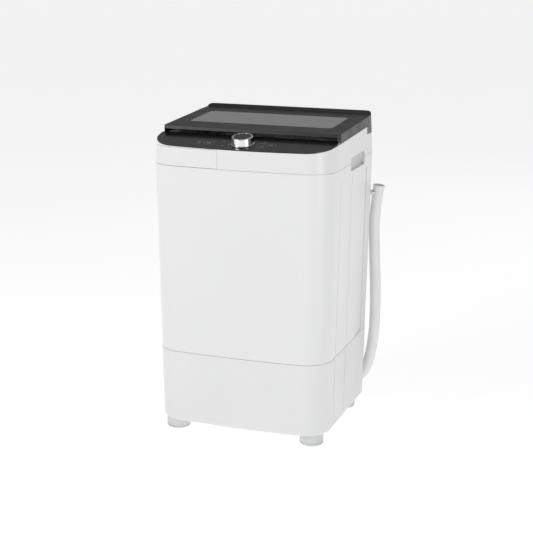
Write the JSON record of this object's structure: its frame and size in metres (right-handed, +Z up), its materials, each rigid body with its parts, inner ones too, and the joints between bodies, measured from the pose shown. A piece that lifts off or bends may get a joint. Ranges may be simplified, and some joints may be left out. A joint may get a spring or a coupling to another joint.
{
  "type": "top load washing machine",
  "caption": "Compact top load washing machine: white tapered cabinet, black console with a chrome dial, smoked lid window, suspended tub and basket, drain hose clipped behind.",
  "frame": {"origin": "on the floor, under the middle of the machine without its hose", "axes": "+Z up, the bowed front and the controls look to -Y, +X is the right side as seen from the front"},
  "size_m": [0.5081, 0.4508, 0.82],
  "materials": {
    "white_cabinet": "semi-gloss white, fine texture",
    "white_plinth": "semi-gloss white",
    "white_cover": "glossy white",
    "white_grip": "satin white",
    "grey_plastic": "satin",
    "black_console": "piano gloss",
    "black_deck": "satin gloss",
    "black_lid": "piano gloss",
    "smoked_window": "smoked",
    "display_glass": "smoked gloss",
    "dial_chrome": "polished",
    "dial_insert": "spun satin",
    "bright_steel": "ground",
    "black_key": "satin",
    "dark_plastic": "matte",
    "circuit_board": "solder mask",
    "potted_board": "potted",
    "zinc_sheet": "galvanised",
    "screw_steel": "zinc plated",
    "foot_grey": "matte",
    "valve_plastic": "satin",
    "soft_hose": "matte",
    "spring_steel": "oiled",
    "black_rubber": "matte",
    "drain_grey": "satin",
    "hose_grey": "satin",
    "hose_cuff_grey": "matte",
    "clip_white": "satin",
    "tub_plastic": "satin",
    "cast_aluminium": "as cast",
    "bearing_steel": "ground",
    "motor_paint": "painted",
    "belt_rubber": "matte",
    "basket_steel": "brushed, perforated",
    "balance_plastic": "satin",
    "filter_plastic": "satin",
    "pulsator_plastic": "gloss"
  },
  "bodies": {
    "cabinet": {"cabinet_shell": "white_cabinet", "base_plinth": "white_plinth", "top_cover": "white_cover", "control_panel": "black_console", "display_window": "display_glass", "encoder": "dark_plastic", "switch_board": "circuit_board", "main_board": "potted_board", "rear_deck": "black_deck", "hinge_pins": "bright_steel", "rear_cover": "zinc_sheet", "rear_cover_screws": "screw_steel", "fixed_feet": "foot_grey", "inlet_valve": "valve_plastic", "fill_hose": "soft_hose", "drawer_housing": "grey_plastic", "level_sensor": "dark_plastic", "hanger_brackets": "zinc_sheet", "suspension_rods": "bright_steel", "suspension_springs": "spring_steel", "grip_cups": "white_grip", "cord_gland": "black_rubber", "drain_elbow": "drain_grey", "drain_bellows": "black_rubber", "drain_hose": "hose_grey", "hose_cuff": "hose_cuff_grey", "hose_hook": "clip_white"},
    "lid": {"lid_frame": "black_lid", "lid_window": "smoked_window", "lid_buffers": "black_rubber"},
    "dial": {"knob_body": "dial_chrome", "knob_cap": "dial_insert", "knob_shaft": "bright_steel"},
    "power_key": {"power_button": "black_key"},
    "start_key": {"start_button": "black_key"},
    "drawer": {"drawer_front": "white_cover", "drawer_tray": "grey_plastic"},
    "adjuster": {"levelling_foot": "foot_grey"},
    "tub": {"outer_tub": "tub_plastic", "tub_cover_ring": "tub_plastic", "tub_base_plate": "zinc_sheet", "clutch_housing": "cast_aluminium", "spin_bearings": "bearing_steel", "shaft_seal": "black_rubber", "drive_motor": "motor_paint", "drive_belt": "belt_rubber", "drain_valve": "valve_plastic", "drain_actuator": "dark_plastic"},
    "plunger": {"drain_plunger": "valve_plastic"},
    "clutch_wheel": {"clutch_pulley": "cast_aluminium"},
    "motor_wheel": {"motor_pulley": "bright_steel"},
    "spin_basket": {"basket": "basket_steel", "balance_ring": "balance_plastic", "basket_hub": "cast_aluminium", "spin_tube": "bright_steel", "lint_filter": "filter_plastic"},
    "agitator": {"pulsator": "pulsator_plastic", "pulsator_screw": "screw_steel", "wash_shaft": "bright_steel"}
  },
  "joints": [
    {"name": "lid_hinge", "type": "hinge", "parent": "cabinet", "child": "lid", "pos_m": [0, 0.163, 0.8], "axis": [-1, 0, 0], "range_deg": [0, 98]},
    {"name": "dial_turn", "type": "hinge", "parent": "cabinet", "child": "dial", "pos_m": [0.003, -0.1785, 0.77172], "axis": [0, -0.2008, 0.9796], "continuous": true},
    {"name": "power_press", "type": "slide", "parent": "cabinet", "child": "power_key", "axis": [0, 0.2008, -0.9796], "range_m": [0, 0.0012], "stiffness_N_per_m": 400, "springref_m": -0.001},
    {"name": "start_press", "type": "slide", "parent": "cabinet", "child": "start_key", "axis": [0, 0.2008, -0.9796], "range_m": [0, 0.0012], "stiffness_N_per_m": 400, "springref_m": -0.001},
    {"name": "drawer_slide", "type": "slide", "parent": "cabinet", "child": "drawer", "axis": [0, -1, 0], "range_m": [0, 0.07]},
    {"name": "foot_turn", "type": "hinge", "parent": "cabinet", "child": "adjuster", "pos_m": [0.186, -0.16, 0], "axis": [0, 0, 1], "range_deg": [0, 720]},
    {"name": "tub_bounce", "type": "slide", "parent": "cabinet", "child": "tub", "axis": [0, 0, 1], "range_m": [-0.015, 0.01], "stiffness_N_per_m": 4000, "springref_m": 0.04722, "deforming": ["suspension_springs", "drain_bellows"]},
    {"name": "plunger_slide", "type": "slide", "parent": "tub", "child": "plunger", "axis": [-1, 0, 0], "range_m": [0, 0.012], "stiffness_N_per_m": 300, "springref_m": -0.004},
    {"name": "basket_spin", "type": "hinge", "parent": "tub", "child": "spin_basket", "pos_m": [0, -0.012, 0.24], "axis": [0, 0, 1], "continuous": true},
    {"name": "pulsator_spin", "type": "hinge", "parent": "tub", "child": "agitator", "pos_m": [0, -0.012, 0.25], "axis": [0, 0, 1], "continuous": true},
    {"name": "clutch_pulley_spin", "type": "hinge", "parent": "tub", "child": "clutch_wheel", "pos_m": [0, -0.012, 0.097], "axis": [0, 0, 1], "continuous": true},
    {"name": "motor_spin", "type": "hinge", "parent": "tub", "child": "motor_wheel", "pos_m": [-0.105, -0.075, 0.097], "axis": [0, 0, 1], "continuous": true}
  ],
  "couplings": [
    {"joint": "clutch_pulley_spin", "follows": "pulsator_spin", "ratio": 5},
    {"joint": "motor_spin", "follows": "pulsator_spin", "ratio": 15}
  ]
}
